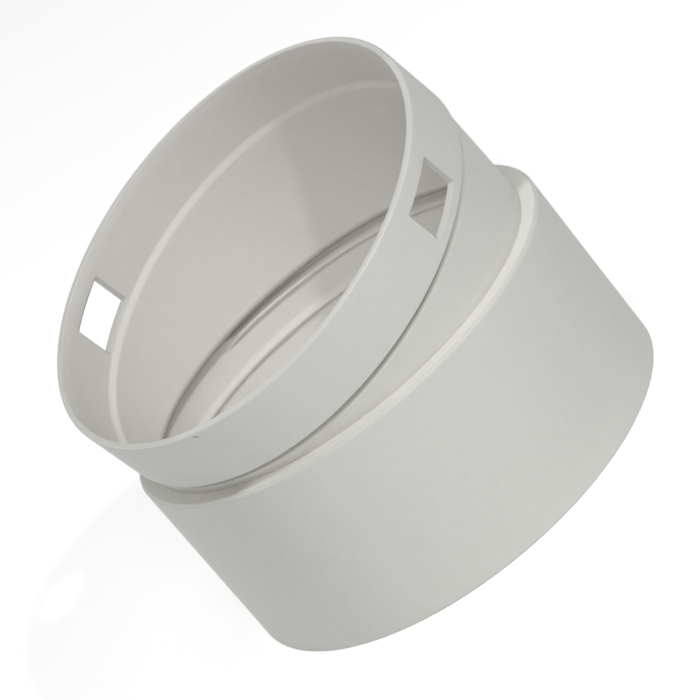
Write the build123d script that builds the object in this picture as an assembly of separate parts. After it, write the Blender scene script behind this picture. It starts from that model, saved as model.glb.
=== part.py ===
"""Angled hose adapter: a threaded hose socket, an oblique neck and a tilted clip-in collar.

One thin-walled moulding, in millimetres. The hose socket stands on its open mouth at z = 0 with
its axis on +Z, and the collar leans towards -X.
"""
from build123d import *
import math
import os

# Wall thickness of the whole moulding
wall = 2.5

# Hose socket, the upright cylinder that the exhaust hose screws into
socket_radius = 78.0
socket_height = 64.6
shoulder_width = 5.7
shoulder_chamfer = 1.0
mouth_chamfer = 0.5

# Neck, the oblique duct from the shoulder to the collar, measured where it is shortest
neck_low_height = 4.7

# Groove round the top of the neck, where it draws in under the collar
groove_depth = 1.0
groove_height = 2.8

# Collar, which leans over its low side and overhangs the neck by a small step
collar_tilt = 16.4
collar_shift = 4.0
collar_radius = 74.6
collar_height = 23.4
collar_step = 1.2
foot_chamfer = 0.3
rim_chamfer = 0.5

# Inside of the collar: a lead-in at the rim and a sloped ledge that stops the mating spigot
lead_in_depth = 0.4
lead_in_height = 3.4
ledge_height = 2.3

# Clip windows, cut through opposite sides of the collar
window_width = 21.8
window_below_rim = 6.2
window_above_foot = 3.4
window_corner = 0.5
window_turn = -4.3

# Hose thread, a right-handed rib inside the socket above a plain mouth
mouth_plain = 16.0
thread_pitch = 11.5
thread_depth = 2.2
thread_root = 3.6
thread_crest = 0.8
thread_below_shoulder = 3.8
thread_end_azimuth = 67.0
runout_length = 8.0

# Depth by which a joined or cutting shape reaches past the surface it meets
overlap = 1.0

# Radii and levels that follow from the driving sizes
socket_bore = socket_radius - wall
shoulder_underside = socket_height - wall
neck_base_radius = socket_radius - shoulder_width
neck_base_bore = neck_base_radius - wall
neck_top_radius = collar_radius - collar_step
groove_radius = neck_top_radius - groove_depth
neck_top_bore = neck_top_radius - wall
collar_bore = collar_radius - wall
foot_rise = collar_radius * math.sin(math.radians(collar_tilt))
foot_centre_height = socket_height + neck_low_height + foot_rise

# The collar's own frame: origin at the centre of its foot, local z along the tilted axis
collar_frame = Location((-collar_shift, 0, foot_centre_height), (0, -collar_tilt, 0))


def outer_corner(section, place):
    """Corner on the outermost side of a section, where place 0 is the lowest and -1 the highest."""
    return section.vertices().group_by(Axis.X)[-1].sort_by(Axis.Y)[place]


def hose_socket():
    """Upright wall closed by a flat shoulder plate, turned about the socket's axis."""
    with BuildSketch(Plane.XZ) as section:
        with BuildLine():
            Polyline(
                (socket_bore, 0),
                (socket_radius, 0),
                (socket_radius, socket_height),
                (0, socket_height),
                (0, shoulder_underside),
                (socket_bore, shoulder_underside),
                close=True,
            )
        make_face()
        chamfer(outer_corner(section, 0), mouth_chamfer)
        chamfer(outer_corner(section, -1), shoulder_chamfer)
    return revolve(section.sketch, Axis.Z)


def oblique_duct(base_height, base_radius, top_radius, below_foot=0):
    """Solid lofted from a level circle at the shoulder to a tilted circle at or below the collar's foot."""
    base = Plane.XY.offset(base_height) * Circle(base_radius)
    top = Plane(collar_frame * Pos(0, 0, -below_foot)) * Circle(top_radius)
    return loft([base, top])


def neck_outside():
    """Oblique duct that draws in to the groove under the collar."""
    duct = oblique_duct(socket_height, neck_base_radius, neck_top_radius, groove_height)
    taper = Cone(neck_top_radius, groove_radius, groove_height, align=(Align.CENTER, Align.CENTER, Align.MAX))
    return duct + collar_frame * taper


def tilted_collar():
    """Ring with a foot step, a rim, a lead-in and a sloped ledge, turned about the tilted axis."""
    with BuildSketch(Plane.XZ) as section:
        with BuildLine():
            Polyline(
                (neck_top_bore, 0),
                (collar_radius, 0),
                (collar_radius, collar_height),
                (collar_bore + lead_in_depth, collar_height),
                (collar_bore, collar_height - lead_in_height),
                (collar_bore, ledge_height),
                close=True,
            )
        make_face()
        chamfer(outer_corner(section, 0), foot_chamfer)
        chamfer(outer_corner(section, -1), rim_chamfer)
    return collar_frame * revolve(section.sketch, Axis.Z)


def clip_windows():
    """Cutter for both windows, one bar through the collar's axis."""
    window_height = collar_height - window_below_rim - window_above_foot
    outline = Plane.XZ * RectangleRounded(window_width, window_height, window_corner)
    bar = extrude(outline, collar_radius + overlap, both=True)
    middle = Pos(0, 0, window_above_foot + window_height / 2)
    return collar_frame * Rot(0, 0, window_turn) * middle * bar


def thread_runout(direction):
    """Cutter that slopes one end of the rib from its crest down into the wall."""
    rise = thread_depth + overlap
    run = direction * runout_length * rise / thread_depth
    slope = make_face(Polyline((0, 0), (rise, run), (-overlap, run), (-overlap, 0), close=True))
    return Pos(socket_bore - thread_depth, 0, 0) * extrude(slope, thread_root, both=True)


def hose_thread():
    """Helical rib of trapezoid section, rooted in the wall, with a run-out at each end."""
    spread = overlap * (thread_root - thread_crest) / (2 * thread_depth)
    section = make_face(
        Polyline(
            (overlap, -thread_root / 2 - spread),
            (-thread_depth, -thread_crest / 2),
            (-thread_depth, thread_crest / 2),
            (overlap, thread_root / 2 + spread),
            close=True,
        )
    )
    bottom = mouth_plain + thread_root / 2
    travel = shoulder_underside - thread_below_shoulder - bottom
    turned = 360 * travel / thread_pitch
    path = Helix(thread_pitch, travel, socket_bore)
    rib = sweep(Pos(socket_bore, 0, 0) * Plane.XZ * section, path, is_frenet=True)
    runout_turn = math.degrees(runout_length / socket_bore)
    rib -= Rot(0, 0, runout_turn) * thread_runout(-1)
    rib -= Pos(0, 0, travel) * Rot(0, 0, turned - runout_turn) * thread_runout(1)
    return Pos(0, 0, bottom) * Rot(0, 0, thread_end_azimuth - turned) * rib


os.makedirs("parts", exist_ok=True)
hose_adapter = hose_socket() + neck_outside()
hose_adapter -= oblique_duct(shoulder_underside, neck_base_bore, neck_top_bore)
hose_adapter += tilted_collar()
hose_adapter -= clip_windows()
hose_adapter += hose_thread()
export_step(hose_adapter, "parts/hose_adapter.step")
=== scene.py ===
"""Looks of the angled hose adapter: its moulded grey plastic, a pale floor and soft studio light."""
import math

import bpy
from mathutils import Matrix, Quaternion, Vector

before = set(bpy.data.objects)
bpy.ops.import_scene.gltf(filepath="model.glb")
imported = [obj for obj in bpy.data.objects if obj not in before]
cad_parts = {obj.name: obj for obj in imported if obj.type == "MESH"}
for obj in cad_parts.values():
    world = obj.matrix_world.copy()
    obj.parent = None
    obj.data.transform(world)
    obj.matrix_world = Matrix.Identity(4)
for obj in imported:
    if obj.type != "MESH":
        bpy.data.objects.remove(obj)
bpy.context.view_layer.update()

# Lengths are in metres and angles in degrees. A pair of values is a ramp: the mask that it makes is 0
# at the first value and 1 at the second.

# Camera, placed where the photograph was taken from
CAMERA_POSITION = Vector((-0.7038, -0.6232, 0.4221))
CAMERA_AZIMUTH = 41.52
CAMERA_DIP = 21.30
CAMERA_ROLL = -39.53
FOCAL_PIXELS = 3197.1
PHOTO_WIDTH = 700
SENSOR_WIDTH = 36.0

# Lamps: the way each stands from the object, its distance and width, and its level, where 1 lights a
# surface that faces it so that a colour renders as it is written
LAMP_AIM = Vector((-0.004, 0.0, 0.07))
FRONT_SOFTBOX = {"azimuth": -144, "height": 35, "distance": 2.2, "width": 1.2, "level": 0.344}
KEY_LAMP = {"azimuth": -96, "height": 42, "distance": 2.2, "width": 0.13, "level": 0.232}
TOP_SOFTBOX = {"azimuth": -100, "height": 82, "distance": 2.2, "width": 1.2, "level": 0.18}
REAR_FILL = {"azimuth": 90, "height": 30, "distance": 2.2, "width": 1.2, "level": 0.234}
SKY_LEVEL = 0.02

# Floor
FLOOR_SIZE = 12.0
FLOOR_COLOUR = (0.86, 0.86, 0.86, 1)
FLOOR_GLOW = 0.54

# Plastic: its colour outside, its paler colour inside, which is painted light, and the colour of the
# painted shade, painted shadows and dirt on it
PLASTIC = (0.812, 0.808, 0.768)
INSIDE_PAINTED_LIGHT = (0.884, 0.868, 0.832)
SHADE_AND_DIRT_COLOUR = (0.34, 0.32, 0.26)

# The mould's finish: fine grain, mottling and slow shading, and the bump that the grain makes
GRAIN = {"size": 0.0004, "detail": 2.0}
MOTTLE = {"size": 0.004, "detail": 3.0}
CLOUD = {"size": 0.045, "detail": 2.0}
BUMP_STRENGTH = 0.25
BUMP_DEPTH = 0.00008

# Softened edges: their radius outside and inside the duct, and the samples that find them
EDGE_ROUND = 0.0006
INSIDE_ROUND = 0.0014
EDGE_SAMPLES = 6

# Roughness, how far mottling and shading vary it, and how much smoother a rubbed edge is
ROUGHNESS = 0.50
ROUGHNESS_RANGE = 0.10
RUBBED_SMOOTHER = 0.08

# How much each thing lightens or varies the plastic, as a share of its colour; the rubbed edges' tone
# is partly a painted highlight and the level faces' tone is painted light
GRAIN_TONE = 0.10
MOTTLE_TONE = 0.05
CLOUD_TONE = 0.05
# Rubbed edges: real rubbing and a painted highlight
RUBBED_AND_HIGHLIGHT_TONE = 0.14
# Level faces: painted light
LEVEL_FACE_PAINTED_LIGHT = 0.19
LIGHT_SPECK_TONE = 0.12
SCRATCH_TONE = 0.03

# How much of the plastic each painted shade or shadow, and the dirt of the dark speck, covers
# Corners: painted shade
CORNER_SHADE = 0.20
INSIDE_CORNER_SHADE = 0.25
# Shadowed side: painted shadow
SHADOWED_SIDE_SHADE = 0.24
# Groove under the collar: painted shadow
GROOVE_SHADOW = 0.55
# Neck's lower inner edge: painted shade
NECK_EDGE_SHADE = 0.72
SPECK_DIRT = 0.9

# Faces, told apart by their normals: inwards by its share along the way out, and level ones and those
# that take the painted shadow on the shadowed side by its share upwards
INWARDS = (0.0, -0.5)
LEVEL = (0.97, 0.99)
TAKES_SIDE_SHADE = (0.5, 0.65)

# Edges, by the cosine of the turn that softening gives them, and corners, by how open they are within
# a short reach, found with a few samples
EDGE_TURN = (1.0, 0.75)
CORNER_OPENNESS = (0.8, 0.4)
CORNER_REACH = 0.004
CORNER_SAMPLES = 8

# Collar: the centre of its foot, and the way its axis leans towards -X
FOOT_CENTRE = Vector((-0.004, 0.0, 0.09036))
COLLAR_LEAN = math.radians(16.4)
COLLAR_AXIS = Vector((-math.sin(COLLAR_LEAN), 0.0, math.cos(COLLAR_LEAN)))

# Groove under the collar, which takes a painted shadow: where the shadow starts and stops along the
# collar's axis from its foot, and the stretch of X over which it thins out towards the tall side
GROOVE_SHADOW_STARTS = (-0.0026, -0.0019)
GROOVE_SHADOW_STOPS = (0.00014, 0.0)
GROOVE_SHADOW_THINS = (0.015, -0.030)

# Lower edge of the neck's inside, and where the painted shade on it starts and stops above that edge
NECK_EDGE = 0.0621
EDGE_SHADE_STARTS = (-0.00044, 0.0)
EDGE_SHADE_STOPS = (0.0022, 0.00063)

# Shadowed side, where upward faces get a painted shadow and edges get less painted highlight and
# rubbing:
# the way it faces, where it starts along that way from the socket's axis, and how much less its edges
# are highlit and rubbed
SHADOWED_SIDE_TURN = math.radians(62.5)
SHADOWED_SIDE_WAY = Vector((math.cos(SHADOWED_SIDE_TURN), math.sin(SHADOWED_SIDE_TURN), 0.0))
SHADOWED_SIDE_STARTS = (-0.0372, -0.0312)
SHADOWED_EDGES_LESS_LIT_AND_RUBBED = 0.8

# Small marks on the moulding, each a short line from one point to another with a half width
DARK_SPECK = (Vector((-0.08171, -0.00354, 0.09047)), Vector((-0.08150, -0.00457, 0.08996)), 0.0006)
LIGHT_SPECK = (Vector((-0.06045, 0.05180, 0.09815)), Vector((-0.06020, 0.05160, 0.09822)), 0.0006)
SCRATCH = (Vector((-0.07788, 0.00435, 0.06312)), Vector((-0.07790, 0.00384, 0.05827)), 0.0005)


class Socket:
    """A node's output, or a plain number, that takes part in arithmetic by adding Math nodes."""

    def __init__(self, nodes, source):
        self.nodes = nodes
        self.source = source

    def maths(self, operation, *others, clamp=False):
        settings = {"operation": operation, "use_clamp": clamp}
        return self.nodes.add("ShaderNodeMath", settings, dict(enumerate((self, *others))))

    def __add__(self, other):
        return self.maths("ADD", other)

    __radd__ = __add__

    def __sub__(self, other):
        return self.maths("SUBTRACT", other)

    def __rsub__(self, other):
        return Socket(self.nodes, other).maths("SUBTRACT", self)

    def __mul__(self, other):
        return self.maths("MULTIPLY", other)

    __rmul__ = __mul__

    def clamped(self):
        """The same value, held between 0 and 1."""
        return self.maths("ADD", 0.0, clamp=True)

    def ramp(self, start, end):
        """Mask that is 0 at the start value and 1 at the end value, and holds those beyond them."""
        return (self - start).maths("DIVIDE", end - start, clamp=True)


class Nodes:
    """The shader nodes of a material or of the sky, emptied and ready to be filled."""

    def __init__(self, owner, output):
        owner.use_nodes = True
        self.tree = owner.node_tree
        self.tree.nodes.clear()
        self.output = self.tree.nodes.new(output)

    def add(self, kind, settings=None, inputs=None, output=0):
        """Adds a node, sets it up, feeds its inputs with values or sockets and returns one output."""
        made = self.tree.nodes.new(kind)
        for name, value in (settings or {}).items():
            setattr(made, name, value)
        for name, value in (inputs or {}).items():
            self.feed(made.inputs[name], value)
        return Socket(self, made.outputs[output])

    def feed(self, target, value):
        """Links a socket to an input, or sets the input to a plain value."""
        value = value.source if isinstance(value, Socket) else value
        if isinstance(value, bpy.types.NodeSocket):
            self.tree.links.new(value, target)
        else:
            target.default_value = value

    def vector(self, operation, *inputs, output=0):
        settings = {"operation": operation}
        return self.add("ShaderNodeVectorMath", settings, dict(enumerate(inputs)), output)

    def dot(self, first, second):
        return self.vector("DOT_PRODUCT", first, second, output="Value")

    def scaled(self, vector, scale):
        return self.add("ShaderNodeVectorMath", {"operation": "SCALE"}, {0: vector, "Scale": scale})

    def blend(self, factor, first, second):
        inputs = {"Factor": factor, "A": first, "B": second}
        return self.add("ShaderNodeMix", {"data_type": "VECTOR"}, inputs, "Result")

    def noise(self, place, size, detail):
        """Soft random pattern that varies about 0, with spots of about the given size."""
        inputs = {"Vector": place, "Scale": 1 / size, "Detail": detail}
        return self.add("ShaderNodeTexNoise", inputs=inputs, output="Fac") - 0.5

    def seen_directly(self):
        """1 for what the camera, a reflection or a clear surface shows, 0 for light on things."""
        camera, glossy, clear = (
            self.add("ShaderNodeLightPath", output=f"Is {ray} Ray")
            for ray in ("Camera", "Glossy", "Transmission")
        )
        return (camera + glossy + clear).clamped()

    def finish(self, surface):
        """Links the finished surface to the output."""
        self.feed(self.output.inputs["Surface"], surface)


def near_line(nodes, place, start, end, half_width):
    """Mask that is 1 on a short line and falls to 0 at its half width."""
    along = end - start
    offset = nodes.vector("SUBTRACT", place, start)
    share = nodes.dot(offset, along / along.length_squared).clamped()
    distance = nodes.vector("DISTANCE", offset, nodes.scaled(along, share), output="Value")
    return distance.ramp(half_width, 0.0)


def facing_inwards(nodes, place, normal):
    """Mask that is 1 on the inside of the duct and 0 on its outside and on level faces."""
    outwards = nodes.vector("NORMALIZE", nodes.vector("MULTIPLY", place, (1, 1, 0)))
    return nodes.dot(normal, outwards).ramp(*INWARDS)


def under_foot(nodes, place):
    """Mask that is 1 just below the foot of the collar and fades out down the neck."""
    above = nodes.dot(nodes.vector("SUBTRACT", place, FOOT_CENTRE), COLLAR_AXIS)
    across = nodes.dot(place, (1, 0, 0))
    return above.ramp(*GROOVE_SHADOW_STARTS) * above.ramp(*GROOVE_SHADOW_STOPS) * across.ramp(*GROOVE_SHADOW_THINS)


def above_neck_edge(nodes, place):
    """Mask that is 1 at the lower edge of the neck and fades out a little way above it."""
    above = nodes.dot(place, (0, 0, 1)) - NECK_EDGE
    return above.ramp(*EDGE_SHADE_STARTS) * above.ramp(*EDGE_SHADE_STOPS)


def moulded_plastic():
    """Warm light grey plastic with the fine grain of a spark-finished mould, with painted light,
    highlights, shade and shadows in its colour.
    """
    material = bpy.data.materials.new("moulded_plastic")
    nodes = Nodes(material, "ShaderNodeOutputMaterial")
    place = nodes.add("ShaderNodeTexCoord", output="Object")
    normal = nodes.add("ShaderNodeNewGeometry", output="Normal")
    grain = nodes.noise(place, **GRAIN)
    mottle = nodes.noise(place, **MOTTLE)
    cloud = nodes.noise(place, **CLOUD)

    # Where a point lies on the moulding
    inside = facing_inwards(nodes, place, normal)
    outside = 1 - inside
    # Side that takes a painted shadow and less painted highlight
    shadowed_side = nodes.dot(place, SHADOWED_SIDE_WAY).ramp(*SHADOWED_SIDE_STARTS)
    upwards = nodes.dot(normal, (0, 0, 1))
    level = upwards.ramp(*LEVEL)

    # Softened edges, which are paler where they are rubbed and where a highlight is painted on them,
    # and corners
    radius = EDGE_ROUND + (INSIDE_ROUND - EDGE_ROUND) * inside
    softened = nodes.add("ShaderNodeBevel", {"samples": EDGE_SAMPLES}, {"Radius": radius})
    openness = nodes.add(
        "ShaderNodeAmbientOcclusion",
        {"samples": CORNER_SAMPLES, "only_local": True},
        {"Distance": CORNER_REACH},
        "AO",
    )
    edge = nodes.dot(softened, normal).ramp(*EDGE_TURN)
    rubbed_and_highlit = edge * openness * (1 - SHADOWED_EDGES_LESS_LIT_AND_RUBBED * shadowed_side)
    corner = openness.ramp(*CORNER_OPENNESS)

    # Colour of the plastic before painted shade: its paler inside is painted light, level faces on the
    # lit side get painted light, and edges get a painted highlight as well as real rubbing
    tone = 1 + GRAIN_TONE * grain + MOTTLE_TONE * mottle + CLOUD_TONE * cloud
    tone += RUBBED_AND_HIGHLIGHT_TONE * rubbed_and_highlit + LEVEL_FACE_PAINTED_LIGHT * level * (1 - shadowed_side)
    tone += LIGHT_SPECK_TONE * near_line(nodes, place, *LIGHT_SPECK)
    tone += SCRATCH_TONE * near_line(nodes, place, *SCRATCH)
    clean = nodes.scaled(nodes.blend(inside, PLASTIC, INSIDE_PAINTED_LIGHT), tone)

    # Painted shade and shadows over it, and the dirt of the dark speck
    shade_and_dirt = (CORNER_SHADE * (1 - level) + INSIDE_CORNER_SHADE * inside) * corner
    shade_and_dirt += SHADOWED_SIDE_SHADE * upwards.ramp(*TAKES_SIDE_SHADE) * shadowed_side * outside
    shade_and_dirt += GROOVE_SHADOW * under_foot(nodes, place) * outside
    shade_and_dirt += NECK_EDGE_SHADE * above_neck_edge(nodes, place) * inside
    shade_and_dirt += SPECK_DIRT * near_line(nodes, place, *DARK_SPECK)
    colour = nodes.blend(shade_and_dirt.clamped(), clean, SHADE_AND_DIRT_COLOUR)

    bump = {"Strength": BUMP_STRENGTH, "Distance": BUMP_DEPTH, "Height": grain, "Normal": softened}
    plastic = {
        "Base Color": colour,
        "Roughness": ROUGHNESS + ROUGHNESS_RANGE * (mottle + cloud) - RUBBED_SMOOTHER * rubbed_and_highlit,
        "Normal": nodes.add("ShaderNodeBump", inputs=bump),
    }
    nodes.finish(nodes.add("ShaderNodeBsdfPrincipled", inputs=plastic))
    return material


def pale_floor():
    """Pale floor that the camera sees as white, with the object's shadow on it."""
    material = bpy.data.materials.new("pale_floor")
    nodes = Nodes(material, "ShaderNodeOutputMaterial")
    diffuse = nodes.add("ShaderNodeBsdfDiffuse", inputs={"Color": FLOOR_COLOUR})
    strength = FLOOR_GLOW * nodes.seen_directly()
    glow = nodes.add("ShaderNodeEmission", inputs={"Strength": strength})
    nodes.finish(nodes.add("ShaderNodeAddShader", inputs={0: diffuse, 1: glow}))
    return material


def direction(azimuth, height):
    """Unit vector towards an azimuth and a height above the horizon."""
    turn = math.radians(azimuth)
    rise = math.radians(height)
    return Vector((math.cos(rise) * math.cos(turn), math.cos(rise) * math.sin(turn), math.sin(rise)))


def add_lamp(name, azimuth, height, distance, width, level):
    """Round soft lamp that faces the object and lights it to the given level."""
    towards = direction(azimuth, height)
    light = bpy.data.lights.new(name, "AREA")
    light.shape = "DISK"
    light.size = width
    light.energy = level * (math.pi * distance) ** 2
    lamp = bpy.data.objects.new(name, light)
    lamp.location = LAMP_AIM + distance * towards
    lamp.rotation_mode = "QUATERNION"
    lamp.rotation_quaternion = towards.to_track_quat("Z", "Y")
    bpy.context.scene.collection.objects.link(lamp)


def add_floor():
    """Level floor under the socket's mouth."""
    bpy.ops.object.select_all(action="DESELECT")
    bpy.ops.mesh.primitive_plane_add(size=FLOOR_SIZE)
    floor = bpy.context.object
    floor.name = "floor"
    floor.data.materials.append(pale_floor())


def add_sky():
    """Faint even light from all round, which the camera sees as white."""
    world = bpy.data.worlds.new("sky")
    nodes = Nodes(world, "ShaderNodeOutputWorld")
    strength = SKY_LEVEL + (1 - SKY_LEVEL) * nodes.seen_directly()
    background = {"Color": (1, 1, 1, 1), "Strength": strength}
    nodes.finish(nodes.add("ShaderNodeBackground", inputs=background))
    bpy.context.scene.world = world


def add_camera():
    """Camera at the photograph's place, turned and rolled as it was."""
    data = bpy.data.cameras.new("camera")
    data.sensor_width = SENSOR_WIDTH
    data.lens = FOCAL_PIXELS / PHOTO_WIDTH * SENSOR_WIDTH
    camera = bpy.data.objects.new("camera", data)
    camera.location = CAMERA_POSITION
    camera.rotation_mode = "QUATERNION"
    look = direction(CAMERA_AZIMUTH, -CAMERA_DIP)
    roll = Quaternion((0, 0, 1), math.radians(CAMERA_ROLL))
    camera.rotation_quaternion = look.to_track_quat("-Z", "Y") @ roll
    bpy.context.scene.collection.objects.link(camera)
    bpy.context.scene.camera = camera


def dress_adapter():
    """Gives the moulding its plastic."""
    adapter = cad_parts["hose_adapter"]
    adapter.data.materials.clear()
    adapter.data.materials.append(moulded_plastic())


bpy.context.scene.view_settings.view_transform = "Standard"
dress_adapter()
add_floor()
add_sky()
add_lamp("front_softbox", **FRONT_SOFTBOX)
add_lamp("key_lamp", **KEY_LAMP)
add_lamp("top_softbox", **TOP_SOFTBOX)
add_lamp("rear_fill", **REAR_FILL)
add_camera()
